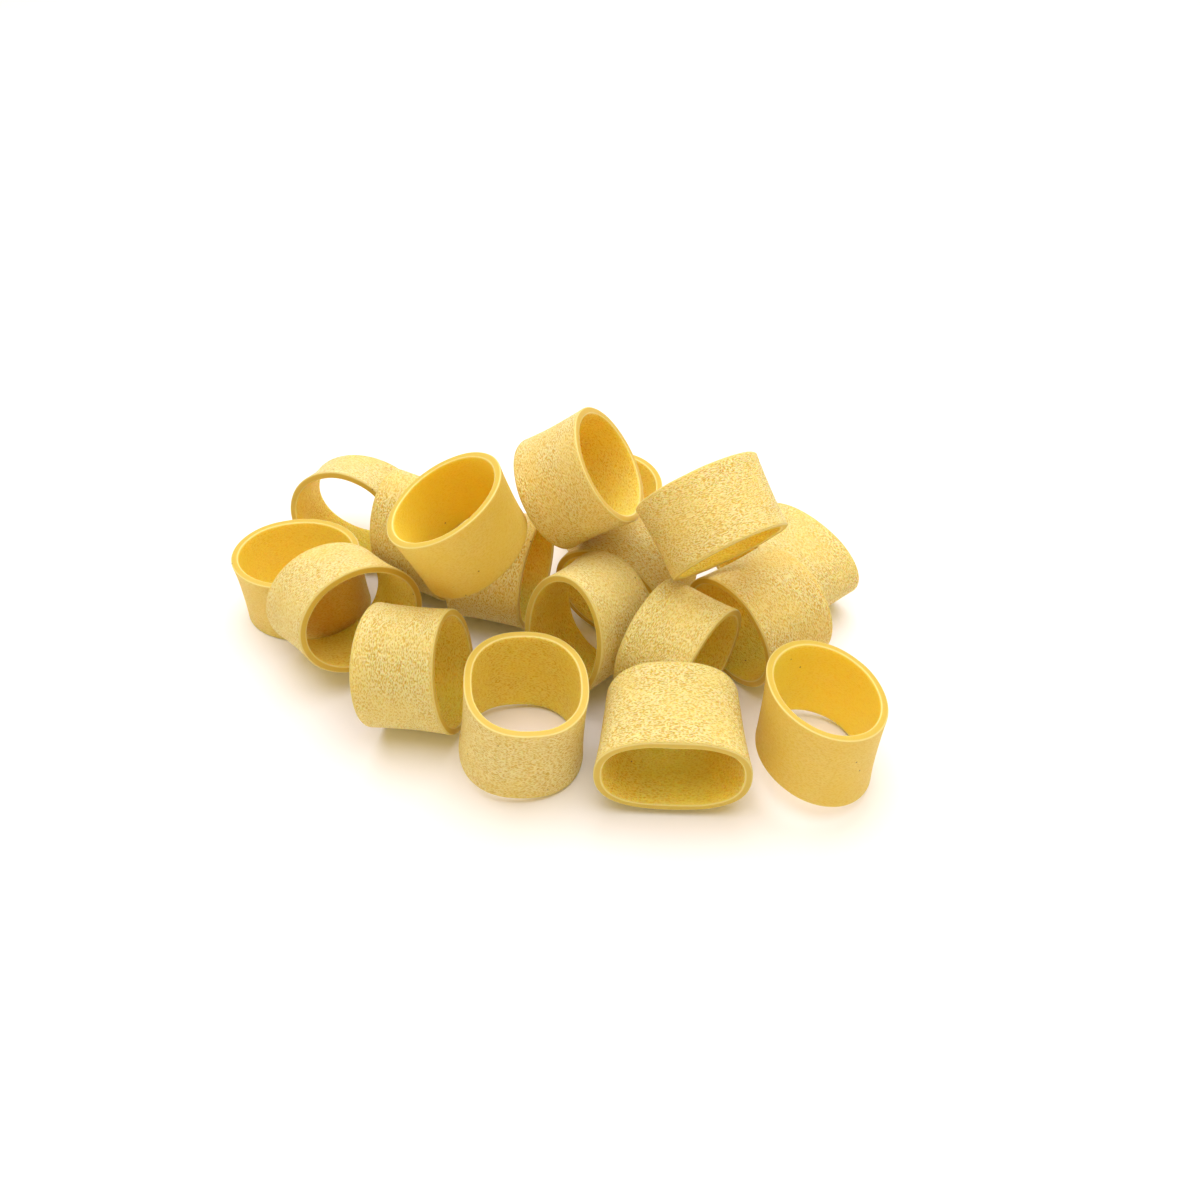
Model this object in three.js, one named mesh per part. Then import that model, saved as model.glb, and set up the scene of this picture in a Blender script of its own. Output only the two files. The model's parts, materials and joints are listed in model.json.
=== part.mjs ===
// A heap of dry calamarata: short wide pasta rings, cut from an extruded tube.
// The rings lie loose on a table, and three of them have come to rest on top of the others.
// Millimetres, +Z up, the table top at z = 0, +Y toward the back of the heap.
import * as THREE from 'three';

// ---- driving dimensions ----
const RING_RADIUS = 14.5;    // outer radius of a ring that dried round
const RING_LENGTH = 20;      // length of tube in one ring
const WALL = 1.8;            // wall thickness
const AROUND = 36;           // facets round a ring
const ROWS = [-1, 0, 1];     // corner rows along a wall, far rim to near rim

// The tones run from the palest ring to the deepest.
const TONES = [0xf2dfa6, 0xeed797, 0xe9cd86, 0xe3c277];
const SURFACE = 0.75;        // matt, floury finish

const degrees = THREE.MathUtils.degToRad;

// A ring as it left the cutter. Each ring of the heap states only how it differs.
//   lift:   how steeply its near end points up, 90 for a ring standing upright
//   oval:   how oval the near rim and the far rim dried, 0 for round
//   turn:   direction of the long diameter, 0 for level
//   square: how boxy the outline dried, 0 for an ellipse, 1 for a square with very round corners
//   slant:  how far the near rim has slipped sideways and upward, as a share of the length
//   length: length as a share of RING_LENGTH
//   tone:   which of TONES it has
const PLAIN = {
  lift: 0, oval: [0.05, 0.05], turn: 0, square: 0, slant: [0, 0], length: 1, tone: 1,
};

// at is the x and y of a ring's middle, and z as well where it rests on other rings.
// heading is the compass direction of its near end, 0 along +X and 90 along +Y.
const RINGS = [
  // standing on the table
  { name: 'ring_far_left', at: [-75, 0], heading: 0, lift: 90, oval: [0.1, 0.1], turn: 90,
    length: 0.95 },
  { name: 'ring_front_upright', at: [-16, -47], heading: 5, lift: 84, oval: [-0.05, 0],
    turn: 90, square: 0.3, length: 1.15 },
  { name: 'ring_front_right', at: [49, -49.5], heading: 20, lift: 75, turn: 150, slant: [0.1, 0.2] },
  { name: 'ring_back_upright', tone: 2, at: [4, 28], heading: 0, lift: 90, length: 0.9 },

  // lying on the table
  { name: 'ring_back_left', at: [-64.5, 23], heading: -105, lift: 14, oval: [0.05, 0.15], length: 0.8 },
  { name: 'ring_left_middle', tone: 2, at: [-43.8, 8], heading: -25, oval: [0.1, 0.2], turn: 90,
    length: 0.9 },
  { name: 'ring_front_left_tilted', tone: 2, at: [-60.5, -16.5], heading: -58, lift: 10,
    oval: [0.05, 0.05], turn: 10, slant: [0.15, 0.1], length: 0.95 },
  { name: 'ring_front_left_lying', at: [-41, -36], heading: -12, lift: 5, oval: [0.15, 0.05],
    turn: 90, length: 0.95 },
  { name: 'ring_centre_left', tone: 3, at: [-24, 0.5], heading: -15, length: 0.95 },
  { name: 'ring_centre_front', tone: 0, at: [-2.5, -22.5], heading: -128, lift: 12,
    oval: [0.2, 0.05], turn: 90, length: 0.9 },
  { name: 'ring_centre_back', tone: 3, at: [7.5, -2.5], heading: -120, length: 0.95 },
  { name: 'ring_front_wide', tone: 0, at: [16.5, -53.8], heading: -92, lift: 6, oval: [0.23, 0.05],
    square: 0.5, slant: [0, -0.15], length: 0.95 },
  { name: 'ring_centre_right', at: [19, -29], heading: -35, lift: -3, oval: [0, 0],
    length: 0.85 },
  { name: 'ring_right_middle', tone: 3, at: [39, -17], heading: -145 },
  { name: 'ring_far_right', at: [48, 5], heading: -140, oval: [0.25, 0.25], length: 0.95 },

  // resting on the others
  { name: 'ring_top_left', tone: 0, at: [-30.5, -15, 40.7], heading: 180, lift: 64,
    oval: [0, 0.05], slant: [0.25, 0.2] },
  { name: 'ring_top_centre', tone: 2, at: [-4, 0.5, 41.5], heading: -5, lift: 35,
    slant: [-0.2, 0.1] },
  { name: 'ring_top_right', at: [26, -15, 43], heading: -60, lift: -34,
    oval: [0.05, -0.05], turn: 90, length: 0.9 },
];

// Outer radius in the direction `angle`, at `along` = -1 for the far rim to 1 for the near rim.
// A ring keeps its girth, so it grows one way as it shrinks the other.
function outerRadius(ring, angle, along) {
  const [nearOval, farOval] = ring.oval;
  const oval = THREE.MathUtils.lerp(farOval, nearOval, (along + 1) / 2);
  const fromLong = angle - degrees(ring.turn);
  const long = 1 + oval;
  const short = 1 - oval;
  const power = 2 + ring.square;
  const across = Math.abs(Math.cos(fromLong) / long) ** power;
  const upward = Math.abs(Math.sin(fromLong) / short) ** power;
  const girth = Math.sqrt(1 + oval * oval) * (1 + 0.06 * ring.square);
  return RING_RADIUS / (across + upward) ** (1 / power) / girth;
}

// The corners of the wall's section, once round from the outside far rim to the inside far rim.
function wallProfile() {
  const outside = ROWS.map((along) => ({ along, inset: 0 }));
  const inside = ROWS.map((along) => ({ along, inset: WALL })).reverse();
  return [...outside, ...inside];
}

function ringGeometry(ring) {
  const halfLength = RING_LENGTH * ring.length / 2;
  const [sideSlant, upSlant] = ring.slant;
  const profile = wallProfile();
  const positions = [];
  for (let step = 0; step < AROUND; step += 1) {
    const angle = step / AROUND * 2 * Math.PI;
    for (const { along, inset } of profile) {
      const radius = outerRadius(ring, angle, along) - inset;
      const reach = along * halfLength;
      positions.push(
        radius * Math.cos(angle) + sideSlant * reach,
        radius * Math.sin(angle) + upSlant * reach,
        reach,
      );
    }
  }
  const faces = [];
  const count = profile.length;
  for (let step = 0; step < AROUND; step += 1) {
    const here = step * count;
    const next = (step + 1) % AROUND * count;
    for (let corner = 0; corner < count; corner += 1) {
      const after = (corner + 1) % count;
      faces.push(here + corner, next + corner, next + after);
      faces.push(here + corner, next + after, here + after);
    }
  }
  const geometry = new THREE.BufferGeometry();
  geometry.setAttribute('position', new THREE.Float32BufferAttribute(positions, 3));
  geometry.setIndex(faces);
  return geometry;
}

// Turns the ring's own axes (level side, up side, near end) into the heap's.
function ringPose(ring) {
  const heading = degrees(ring.heading);
  const lift = degrees(ring.lift);
  const nearEnd = new THREE.Vector3(
    Math.cos(heading) * Math.cos(lift),
    Math.sin(heading) * Math.cos(lift),
    Math.sin(lift),
  );
  const levelSide = new THREE.Vector3(-Math.sin(heading), Math.cos(heading), 0);
  const upSide = new THREE.Vector3().crossVectors(nearEnd, levelSide);
  return new THREE.Matrix4().makeBasis(levelSide, upSide, nearEnd);
}

const heap = new THREE.Group();
heap.name = 'calamarata_heap';

for (const differences of RINGS) {
  const ring = { ...PLAIN, ...differences };
  const geometry = ringGeometry(ring).applyMatrix4(ringPose(ring));
  geometry.computeBoundingBox();
  const [x, y, height] = ring.at;
  // A ring with no height of its own lies on the table, so its lowest corner is at z = 0.
  const z = height ?? -geometry.boundingBox.min.z;
  geometry.computeVertexNormals();
  const material = new THREE.MeshStandardMaterial({
    color: TONES[ring.tone], roughness: SURFACE, metalness: 0,
  });
  const mesh = new THREE.Mesh(geometry, material);
  mesh.name = ring.name;
  mesh.position.set(x, y, z);
  heap.add(mesh);
}

// The heap's middle goes over the origin.
heap.updateMatrixWorld(true);
const extent = new THREE.Box3().setFromObject(heap, true);
const middle = extent.getCenter(new THREE.Vector3());
heap.position.set(-middle.x, -middle.y, 0);

export default heap;
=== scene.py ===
"""The finished look of a heap of dry calamarata, short wide pasta rings, on a pale table.

Every ring is rebuilt over its CAD solid: the same tube with worn cut edges, a wall that waves a
little as dried dough does, and the rough skin that a bronze die leaves on it.
Metres, +Z up, the table top at z = 0, +Y toward the back of the heap.
"""
import json
import math

import bpy
import numpy as np
from mathutils import Matrix, Vector


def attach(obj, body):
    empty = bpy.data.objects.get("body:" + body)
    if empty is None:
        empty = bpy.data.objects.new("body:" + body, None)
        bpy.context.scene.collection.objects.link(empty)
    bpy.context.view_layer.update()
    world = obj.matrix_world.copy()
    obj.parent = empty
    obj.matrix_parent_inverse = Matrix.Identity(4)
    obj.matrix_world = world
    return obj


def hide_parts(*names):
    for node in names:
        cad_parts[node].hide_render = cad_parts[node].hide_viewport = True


MM = 0.001

# ---- the ring meshes ----
AROUND = 192             # faces round a ring
WALL_ROWS = 26           # rows of faces along each side of the wall
EDGE_ROWS = 4            # rows of faces round each worn edge
RIM_ROWS = 4             # rows of faces across a cut rim
EDGE_RADIUS = 0.42 * MM  # how far the cut edges are worn round
OUTLINE_WAVES = 10       # finest wave that is kept of a ring's outline
DENT_DEPTH = 0.10 * MM   # dents that drying leaves in the wall
CUT_WAVE = 0.14 * MM     # waves along a cut rim
WALL_UNEVEN = 0.10 * MM  # thick and thin places in the wall
WAIST = 0.35 * MM        # how far the middle of a ring has drawn in between its rims
RIM_FADE = 1.3 * EDGE_RADIUS      # how far down the wall the look of a cut rim reaches
CORNER_DEPTH = 0.3 * EDGE_RADIUS  # how deep under the skin a worn edge is palest
CORNER_FADE = 0.6 * EDGE_RADIUS   # how far from there its pale band reaches

# ---- reading the CAD rings ----
SAME_CORNER = 0.01 * MM           # corners nearer than this are one corner
SAME_LEVEL = 0.05 * MM            # how far a corner may lie from the cross-section that it is on
NEIGHBOURS = math.radians(14)     # corners this near by angle tell the outside from the inside

# ---- the camera, at the photo's viewing angle ----
CAMERA_RISE = math.radians(45)
CAMERA_DISTANCE = 0.273
CAMERA_AIM = Vector((0.0130, 0.0133, 0.0))     # on the table, beside the middle of the heap
CAMERA_LENS = 31.1

# ---- the studio ----
SKY_COLOR = (1.0, 0.81, 0.46, 1.0)        # warm light from all round
SKY_STRENGTH = 0.60
SOFTBOX_PLACE = (0.03, 0.20, 0.95)        # overhead, a little to the back
SOFTBOX_AIM = (0, 0, 0.02)
SOFTBOX_SIZE = 1.4
SOFTBOX_POWER = 14.3
SOFTBOX_COLOR = (0.85, 0.85, 1.0)
TABLE_HALF = 1.5
TABLE_COLOR = (0.98, 0.98, 0.98, 1.0)
TABLE_ROUGHNESS = 0.6

# ---- the pasta's looks ----
TONES = {                # linear colour of the dough in each material slot
    "pasta_palest": (0.83, 0.65, 0.135),
    "pasta_pale": (0.82, 0.63, 0.12),
    "pasta_mid": (0.83, 0.61, 0.10),
    "pasta_deep": (0.84, 0.60, 0.085),
}
FLOUR = (0.94, 0.84, 0.415, 1.0)    # pale flour; its heaviest layer, on the wrinkles' tops, is partly a painted highlight
BORE = (0.98, 0.73, 0.06, 1.0)      # the inside, less dusty than the skin
BRAN = (0.16, 0.07, 0.02, 1.0)
RIM_TINT = (0.77, 0.74, 0.66)       # the dough on a cut rim, which has no flour
CREASE_SHADE_TINT = (0.82, 0.69, 0.41)    # the dough down in a crease, darkened as painted shade
SMOOTH_TINT = (0.88, 0.82, 0.20)    # the dough of a ring with no roughness at all
DEEP_CLOUD_TINT = (0.98, 0.95, 0.86)
PALE_CLOUD_TINT = (1.01, 1.01, 1.06)
FLOUR_AND_HIGHLIGHT_SHARE = 0.85       # how much flour the skin carries, with the painted highlight on the wrinkles' tops
BORE_CLEANER = 0.65      # how much less of it the inside carries
CREASE_SHADE_SHARE = 0.9       # how much of the painted shade in a crease shows
RIM_SHARE = 0.9          # how much of the rim's colour shows
CORNER_SHARE = 0.85      # how pale the worn edges are
BRAN_SHARE = 0.75        # how dark a fleck of bran is
SMOOTH_RINGS = {         # how rough these rings' skin is, as a share of the others'
    "ring_top_left": 0.3,
    "ring_front_right": 0.35,
    "ring_far_left": 0.5,
}

# ---- the pasta's skin; each scale is how fine a pattern is, in features a millimetre ----
WRINKLE_SCALE = 1.75
WRINKLE_SQUEEZE = 2.6    # how many times longer a wrinkle is round the tube than along it
STRETCH_SCALE = 0.5      # stretches where the wrinkles are deeper and shallower
STRETCH_SHARE = 0.25
PATCH_SCALE = 0.10       # patches where the skin is smoother
CLOUD_SCALE = 0.07       # clouds of paler and deeper dough
BRAN_SCALE = 0.33        # flecks of bran
BRAN_RARITY = 0.90       # how many of the places for a fleck stay empty, as a share
SKIN_RELIEF = 0.55 * MM  # height of the wrinkles
SKIN_ROUGHNESS = 0.55
RIM_ROUGHNESS = 0.42
SHINE = 0.3
DOUGH_IOR = 1.45

# ---- how far light spreads inside the dough ----
SCATTER = 0.5            # on the skin
SCATTER_MORE_INSIDE = 0.4
SCATTER_LESS_ON_RIM = 0.35
SCATTER_RADIUS = (1.0, 0.60, 0.12)  # for red, green and blue
SCATTER_SCALE = 3.4 * MM


# ---------------------------------------------------------------- ring shapes

def corners_of(node):
    """The corners of a CAD solid, each once."""
    points = np.array([vertex.co for vertex in node.data.vertices])
    keys = np.round(points / SAME_CORNER).astype(int)
    first = np.unique(keys, axis=0, return_index=True)[1]
    return points[first]


def tube_direction(node):
    """The cut rims are the largest flat faces, so their normal shows which way the tube runs."""
    normals = np.array([face.normal for face in node.data.polygons])
    areas = np.array([face.area for face in node.data.polygons])
    same_way = abs(normals @ normals.T) > 0.99999
    return normals[np.argmax(same_way @ areas)]


def axes_along(direction):
    """Rows: a level side direction, the side direction square to it, and the tube's own."""
    level = np.cross((0.0, 0.0, 1.0), direction)
    if np.linalg.norm(level) < 0.05:
        level = np.array((0.0, 1.0, 0.0))
    level = level - (level @ direction) * direction
    level /= np.linalg.norm(level)
    return np.array([level, np.cross(direction, level), direction])


def smooth_radius(angles, radii, wanted):
    """A closed outline through the corners, as a sum of waves."""
    def waves(at):
        orders = np.arange(1, OUTLINE_WAVES + 1)
        turns = np.outer(at, orders)
        return np.hstack([np.ones((len(at), 1)), np.cos(turns), np.sin(turns)])
    weights = np.linalg.lstsq(waves(angles), radii, rcond=None)[0]
    return waves(wanted) @ weights


def outline(flat, wanted):
    """Outer and inner outline of one cross-section, from its corners in the plane."""
    middle = flat.mean(0)
    offset = flat - middle
    angles = np.arctan2(offset[:, 1], offset[:, 0])
    radii = np.hypot(offset[:, 0], offset[:, 1])
    apart = abs((angles[:, None] - angles[None] + math.pi) % (2 * math.pi) - math.pi)
    near = apart < NEIGHBOURS
    outside = radii > (near @ radii) / near.sum(1)
    rays = np.stack([np.cos(wanted), np.sin(wanted)], 1)
    curves = []
    for chosen in (outside, ~outside):
        radius = smooth_radius(angles[chosen], radii[chosen], wanted)
        curves.append(middle + rays * radius[:, None])
    return np.array(curves)


def measure_ring(node):
    """The axes, the middle, half the length, and the outlines at far rim, middle and near rim."""
    points = corners_of(node)
    axes = axes_along(tube_direction(node))
    height = points @ axes[2]
    middle_height = (height.max() + height.min()) / 2
    half = (height.max() - height.min()) / 2
    wanted = np.arange(AROUND) / AROUND * 2 * math.pi
    levels = []
    for level in (-1, 0, 1):
        there = abs(height - middle_height - level * half) < SAME_LEVEL
        levels.append(outline(points[there] @ axes[:2].T, wanted) if there.any() else None)
    # A wall that runs straight from rim to rim may have no corners half way.
    if levels[1] is None:
        levels[1] = (levels[0] + levels[2]) / 2
    middle = levels[1].mean((0, 1))
    levels = [level - middle for level in levels]
    origin = axes.T @ np.array((middle[0], middle[1], middle_height))
    return axes, origin, half, levels


def wall_section(half, thickness):
    """Once round the wall's section: how far along the tube, and how deep from the outside."""
    edge = EDGE_RADIUS
    along = np.linspace(-half + edge, half - edge, WALL_ROWS + 1)
    across = np.linspace(edge, thickness - edge, RIM_ROWS + 1)
    bend = np.linspace(0, math.pi / 2, EDGE_ROWS + 1)[1:-1]
    near_outer = np.stack([half - edge + edge * np.sin(bend), edge - edge * np.cos(bend)], 1)
    near_inner = np.stack([half - edge + edge * np.cos(bend),
                           thickness - edge + edge * np.sin(bend)], 1)
    mirror = np.array((-1.0, 1.0))
    return np.vstack([
        np.stack([along, np.zeros_like(along)], 1),
        near_outer,
        np.stack([np.full_like(across, half), across], 1),
        near_inner,
        np.stack([along[::-1], np.full_like(along, thickness)], 1),
        near_inner[::-1] * mirror,
        np.stack([np.full_like(across, -half), across[::-1]], 1),
        near_outer[::-1] * mirror,
    ])


def soft_noise(random, angles, along, round_waves, along_waves):
    """Smooth unevenness of about 0 to 1 that closes round the ring.

    `along` runs from -1 to 1. `round_waves` lists the counts of whole waves that it has round
    the ring, and `along_waves` the counts of half waves along it.
    """
    total = np.zeros(np.broadcast(angles, along).shape)
    power = 0.0
    for order in round_waves:
        size = 1 / order
        for halves in along_waves:
            phase = random.uniform(0, 2 * math.pi, 2)
            total = total + size * np.cos(order * angles + phase[0]) * np.cos(
                halves * math.pi / 2 * along + phase[1])
            power += size * size / 4
    highest = 2.2 * math.sqrt(power)    # about where the sum of the waves peaks
    return (1 + total / highest) / 2


def ring_mesh(name, half, levels, random):
    """The detailed tube, in its own axes.

    Its points carry `rim`, `corner` and `bore`, which mark the cut rims, their worn edges and
    the inside, and `tube_mm`, their place in the tube's own axes.
    """
    outer_of = [level[0] for level in levels]
    inner_of = [level[1] for level in levels]
    thickness = np.linalg.norm(levels[1][0] - levels[1][1], axis=1).mean()
    section = wall_section(half, thickness)
    angles = (np.arange(AROUND) / AROUND * 2 * math.pi)[:, None]
    place = section[None, :, 0] / half
    depth = section[None, :, 1] / thickness

    def between(curves):
        low, mid, high = (curve[:, None, :] for curve in curves)
        s = place[..., None]
        return low * s * (s - 1) / 2 + mid * (1 - s * s) + high * s * (s + 1) / 2

    flat = between(outer_of) * (1 - depth[..., None]) + between(inner_of) * depth[..., None]
    inward = np.stack([-np.cos(angles), -np.sin(angles)], -1)
    dents = soft_noise(random, angles, place, range(2, 10), range(4)) * DENT_DEPTH
    uneven = soft_noise(random, angles, place, range(1, 6), range(2)) * WALL_UNEVEN * depth
    waist = WAIST * (1 - place ** 2)
    flat = flat + inward * (waist + dents - uneven)[..., None]
    low_cut = soft_noise(random, angles, 0, range(2, 13), range(1)) * CUT_WAVE
    high_cut = soft_noise(random, angles, 0, range(2, 13), range(1)) * CUT_WAVE
    cut = np.where(place < 0, low_cut, -high_cut) * abs(place) ** 3
    along = section[None, :, 0] + cut
    points = np.concatenate([flat, along[..., None]], 2).reshape(-1, 3)

    rows = len(section)
    step = np.arange(AROUND)[:, None] * rows
    after = np.roll(step, -1, 0)
    row = np.arange(rows)[None]
    next_row = np.roll(row, -1, 1)
    faces = np.stack([step + row, after + row, after + next_row, step + next_row], 2)

    mesh = bpy.data.meshes.new(name)
    mesh.from_pydata(points.tolist(), [], faces.reshape(-1, 4).tolist())
    mesh.polygons.foreach_set("use_smooth", np.ones(len(mesh.polygons), bool))
    rim = np.clip(1 - (half - abs(section[:, 0])) / RIM_FADE, 0, 1)
    from_skin = np.minimum(section[:, 1], thickness - section[:, 1])
    corner = rim * np.clip(1 - abs(from_skin - CORNER_DEPTH) / CORNER_FADE, 0, 1)
    bore = np.clip(section[:, 1] / thickness, 0, 1)
    for title, values in (("rim", rim), ("corner", corner), ("bore", bore)):
        attribute = mesh.attributes.new(title, "FLOAT", "POINT")
        attribute.data.foreach_set("value", np.tile(values, AROUND).astype(np.float32))
    in_tube = mesh.attributes.new("tube_mm", "FLOAT_VECTOR", "POINT")
    in_tube.data.foreach_set("vector", (points / MM).ravel().astype(np.float32))
    mesh.update()
    return mesh


def build_ring(node_name, material, seed):
    """A detailed ring in place of its CAD node."""
    axes, origin, half, levels = measure_ring(frame["nodes"][node_name])
    name = "pasta_" + node_name
    mesh = ring_mesh(name, half, levels, np.random.default_rng(seed))
    mesh.materials.append(material)
    ring = bpy.data.objects.new(name, mesh)
    bpy.context.scene.collection.objects.link(ring)
    place = Matrix(axes.T.tolist()).to_4x4()
    place.translation = Vector(origin)
    mesh.transform(place)
    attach(ring, "root")
    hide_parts(node_name)
    return ring


# ---------------------------------------------------------------- materials

class Nodes:
    """Short ways to add and join shader nodes in one material."""

    def __init__(self, name):
        self.material = bpy.data.materials.new(name)
        self.material.use_nodes = True
        self.tree = self.material.node_tree
        self.shader = self.tree.nodes["Principled BSDF"]

    def add(self, kind, inputs=None, **settings):
        node = self.tree.nodes.new(kind)
        for key, value in settings.items():
            setattr(node, key, value)
        for key, value in (inputs or {}).items():
            self.feed(node.inputs[key], value)
        return node

    def feed(self, socket, value):
        if isinstance(value, bpy.types.NodeSocket):
            self.tree.links.new(value, socket)
        else:
            socket.default_value = value

    def math(self, operation, *values, clamp=False):
        node = self.add("ShaderNodeMath", operation=operation, use_clamp=clamp)
        for socket, value in zip(node.inputs, values):
            self.feed(socket, value)
        return node.outputs[0]

    def spread(self, value, low, high, to_low=0.0, to_high=1.0):
        """A smooth ramp, from `to_low` where the value is `low` to `to_high` where it is `high`."""
        node = self.add("ShaderNodeMapRange", {
            "Value": value, "From Min": low, "From Max": high, "To Min": to_low, "To Max": to_high,
        }, interpolation_type="SMOOTHSTEP")
        return node.outputs["Result"]

    def mix(self, share, first, second):
        node = self.add("ShaderNodeMix", data_type="RGBA")
        self.feed(node.inputs[0], share)
        self.feed(node.inputs[6], first)
        self.feed(node.inputs[7], second)
        return node.outputs[2]

    def scaled(self, vector, factors):
        node = self.add("ShaderNodeVectorMath", operation="MULTIPLY")
        self.feed(node.inputs[0], vector)
        node.inputs[1].default_value = factors
        return node.outputs[0]

    def shifted(self, vector, offset):
        node = self.add("ShaderNodeVectorMath", operation="ADD")
        self.feed(node.inputs[0], vector)
        node.inputs[1].default_value = offset
        return node.outputs[0]

    def noise(self, vector, scale, detail, distortion=0.0):
        node = self.add("ShaderNodeTexNoise", {
            "Vector": vector, "Scale": scale, "Detail": detail, "Roughness": 0.5,
            "Distortion": distortion,
        })
        return node.outputs["Fac"]

    def point_value(self, name):
        node = self.add("ShaderNodeAttribute", attribute_name=name, attribute_type="GEOMETRY")
        return node.outputs["Fac"]


def shade(color, factors):
    """The colour with its red, green and blue each times their own factor."""
    return tuple(c * f for c, f in zip(color[:3], factors)) + (1.0,)


def pasta_material(name, tone, relief, seed):
    """Dry semolina dough: a floury, wrinkled skin over a golden body, smoother on the cut rims,
    with painted shade in the wrinkles' creases and a painted highlight on their tops.
    """
    n = Nodes(name)
    place = n.add("ShaderNodeAttribute", attribute_name="tube_mm", attribute_type="GEOMETRY")
    millimetres = n.shifted(place.outputs["Vector"], (31.0 * seed, 17.0 * seed, 0.0))
    rim = n.point_value("rim")
    corner = n.point_value("corner")
    bore = n.point_value("bore")
    skin = n.math("SUBTRACT", 1.0, rim, clamp=True)

    # Wrinkles run round the tube, so the grain is squeezed along it.
    grain = n.scaled(millimetres, (1.0, 1.0, WRINKLE_SQUEEZE))
    wrinkles = n.noise(grain, WRINKLE_SCALE, detail=0.3, distortion=0.15)
    stretches = n.noise(n.shifted(grain, (0.0, 50.0, 0.0)), STRETCH_SCALE, detail=1.0)
    # Painted shade: the creases between the wrinkles are coloured darker, as the light would leave
    # them.
    painted_crease_shade = n.spread(wrinkles, 0.37, 0.48, 1.0, 0.0)
    painted_crease_shade = n.math("MULTIPLY", painted_crease_shade, n.spread(stretches, 0.35, 0.65, 1.0, 0.75))
    height = n.math("ADD", wrinkles, n.math("MULTIPLY", stretches, STRETCH_SHARE))

    # Patches where the skin is smoother, and broad clouds of paler and deeper dough.
    patches = n.noise(n.shifted(millimetres, (90.0, 0.0, 40.0)), PATCH_SCALE, detail=1.0)
    patches = n.spread(patches, 0.35, 0.65, 0.7, 1.0)
    share = n.math("MULTIPLY", n.math("MULTIPLY", skin, patches), relief)
    dusty = n.math("SUBTRACT", 1.0, n.math("MULTIPLY", bore, BORE_CLEANER))
    dusting = n.math("MULTIPLY", share, dusty)
    clouds = n.spread(n.noise(millimetres, CLOUD_SCALE, detail=2.0), 0.3, 0.7)

    # Bare dough, then flour on the wrinkles' tops (partly a painted highlight), painted shade in
    # their creases, and the cut rims.
    bare = shade(tone, [tint + (1 - tint) * relief for tint in SMOOTH_TINT])
    body = n.mix(clouds, shade(bare, DEEP_CLOUD_TINT), shade(bare, PALE_CLOUD_TINT))
    body = n.mix(bore, body, BORE)
    # Flour all over the skin, heaviest on the wrinkles' tops, where it is partly a painted
    # highlight.
    flour_and_highlight = n.math("MULTIPLY", n.spread(wrinkles, 0.40, 0.60, 0.6, 1.0), dusting)
    # The colour of the painted shade in a crease, outside and inside the bore.
    crease_shade_color = n.mix(bore, shade(tone, CREASE_SHADE_TINT), shade(BORE, CREASE_SHADE_TINT))
    color = n.mix(n.math("MULTIPLY", flour_and_highlight, FLOUR_AND_HIGHLIGHT_SHARE), body, FLOUR)
    # Painted shade laid into the creases.
    crease_shade_share = n.math("MULTIPLY", n.math("MULTIPLY", painted_crease_shade, share), CREASE_SHADE_SHARE)
    color = n.mix(crease_shade_share, color, crease_shade_color)
    color = n.mix(n.math("MULTIPLY", rim, RIM_SHARE), color, shade(tone, RIM_TINT))
    color = n.mix(n.math("MULTIPLY", corner, CORNER_SHARE), color, FLOUR)

    # A few flecks of bran.
    bran = n.add("ShaderNodeTexVoronoi", {
        "Vector": millimetres, "Scale": BRAN_SCALE, "Randomness": 1.0,
    })
    dot = n.spread(bran.outputs["Distance"], 0.05, 0.09, 1.0, 0.0)
    lot = n.add("ShaderNodeSeparateColor", {"Color": bran.outputs["Color"]})
    chosen = n.math("GREATER_THAN", lot.outputs[0], BRAN_RARITY)
    fleck = n.math("MULTIPLY", n.math("MULTIPLY", dot, chosen), BRAN_SHARE)
    color = n.mix(fleck, color, BRAN)

    bump = n.add("ShaderNodeBump", {
        "Height": n.math("MULTIPLY", height, share),
        "Distance": SKIN_RELIEF,
        "Strength": 1.0,
    })
    n.feed(n.shader.inputs["Base Color"], color)
    n.feed(n.shader.inputs["Normal"], bump.outputs["Normal"])
    roughness = n.spread(rim, 0.0, 1.0, SKIN_ROUGHNESS, RIM_ROUGHNESS)
    n.feed(n.shader.inputs["Roughness"], roughness)
    n.shader.inputs["Specular IOR Level"].default_value = SHINE
    n.shader.inputs["IOR"].default_value = DOUGH_IOR
    scatter = n.math("ADD", SCATTER, n.math("MULTIPLY", bore, SCATTER_MORE_INSIDE))
    scatter = n.math("SUBTRACT", scatter, n.math("MULTIPLY", rim, SCATTER_LESS_ON_RIM))
    n.feed(n.shader.inputs["Subsurface Weight"], scatter)
    n.shader.inputs["Subsurface Radius"].default_value = SCATTER_RADIUS
    n.shader.inputs["Subsurface Scale"].default_value = SCATTER_SCALE
    return n.material


# ---------------------------------------------------------------- the scene

def build_heap():
    slots = {part["node"]: part["material_slot"] for part in frame["record"]["subparts"]}
    for seed, node_name in enumerate(sorted(frame["nodes"])):
        slot = slots[node_name]
        relief = SMOOTH_RINGS.get(node_name, 1.0)
        material = pasta_material(node_name + "_dough", TONES[slot], relief, seed)
        build_ring(node_name, material, seed)


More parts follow.
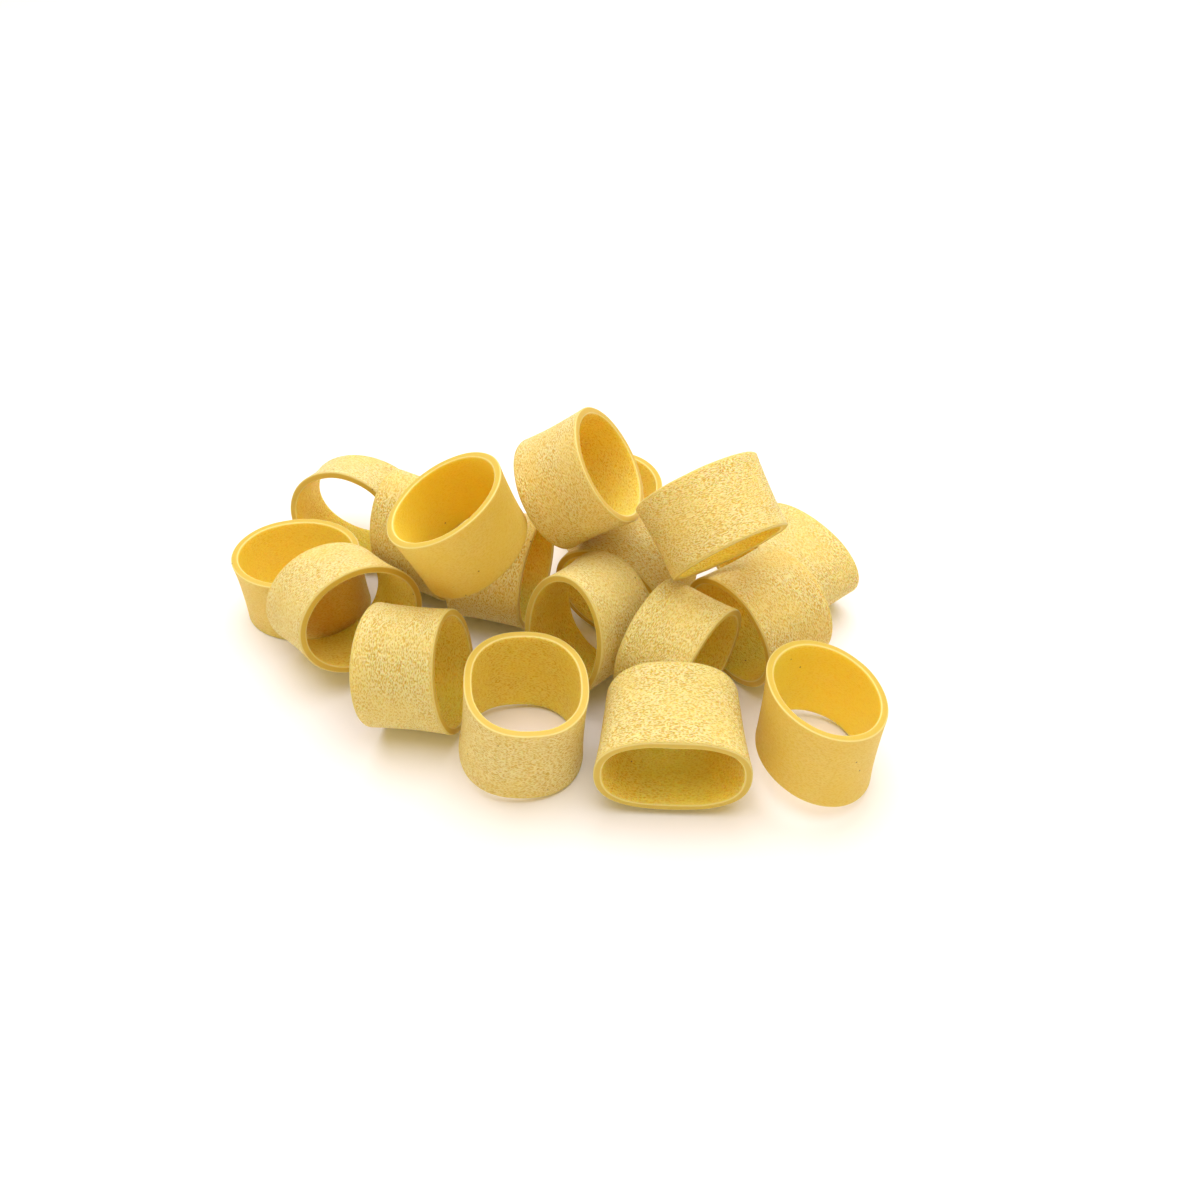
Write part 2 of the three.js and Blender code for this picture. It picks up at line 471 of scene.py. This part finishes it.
def build_table():
    """A pale table top, much larger than the heap."""
    half = TABLE_HALF
    mesh = bpy.data.meshes.new("table_top")
    mesh.from_pydata([(-half, -half, 0), (half, -half, 0), (half, half, 0), (-half, half, 0)],
                     [], [(0, 1, 2, 3)])
    table = bpy.data.objects.new("table_top", mesh)
    bpy.context.scene.collection.objects.link(table)
    n = Nodes("table_white")
    n.shader.inputs["Base Color"].default_value = TABLE_COLOR
    n.shader.inputs["Roughness"].default_value = TABLE_ROUGHNESS
    mesh.materials.append(n.material)


def build_lights():
    world = bpy.data.worlds.new("studio")
    bpy.context.scene.world = world
    world.use_nodes = True
    sky = world.node_tree.nodes["Background"]
    sky.inputs["Color"].default_value = SKY_COLOR
    sky.inputs["Strength"].default_value = SKY_STRENGTH
    data = bpy.data.lights.new("softbox", "AREA")
    data.shape = "DISK"
    data.size = SOFTBOX_SIZE
    data.energy = SOFTBOX_POWER
    data.color = SOFTBOX_COLOR
    softbox = bpy.data.objects.new("softbox", data)
    bpy.context.scene.collection.objects.link(softbox)
    softbox.location = SOFTBOX_PLACE
    toward_heap = Vector(SOFTBOX_AIM) - Vector(SOFTBOX_PLACE)
    softbox.rotation_euler = toward_heap.to_track_quat("-Z", "Y").to_euler()


def build_camera():
    data = bpy.data.cameras.new("camera")
    data.lens = CAMERA_LENS
    camera = bpy.data.objects.new("camera", data)
    bpy.context.scene.collection.objects.link(camera)
    back = Vector((0.0, -math.cos(CAMERA_RISE), math.sin(CAMERA_RISE)))
    camera.location = CAMERA_AIM + back * CAMERA_DISTANCE
    camera.rotation_euler = (-back).to_track_quat("-Z", "Y").to_euler()
    bpy.context.scene.camera = camera


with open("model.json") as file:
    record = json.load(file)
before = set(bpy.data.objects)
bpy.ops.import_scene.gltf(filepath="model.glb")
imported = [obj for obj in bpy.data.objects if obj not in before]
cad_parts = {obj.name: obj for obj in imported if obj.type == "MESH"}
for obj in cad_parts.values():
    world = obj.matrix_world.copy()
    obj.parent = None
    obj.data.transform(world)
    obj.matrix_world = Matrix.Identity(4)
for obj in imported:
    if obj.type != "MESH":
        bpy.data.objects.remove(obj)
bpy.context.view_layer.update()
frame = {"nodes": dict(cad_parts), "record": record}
build_heap()
build_table()
build_lights()
build_camera()
bpy.context.scene.view_settings.view_transform = "Standard"
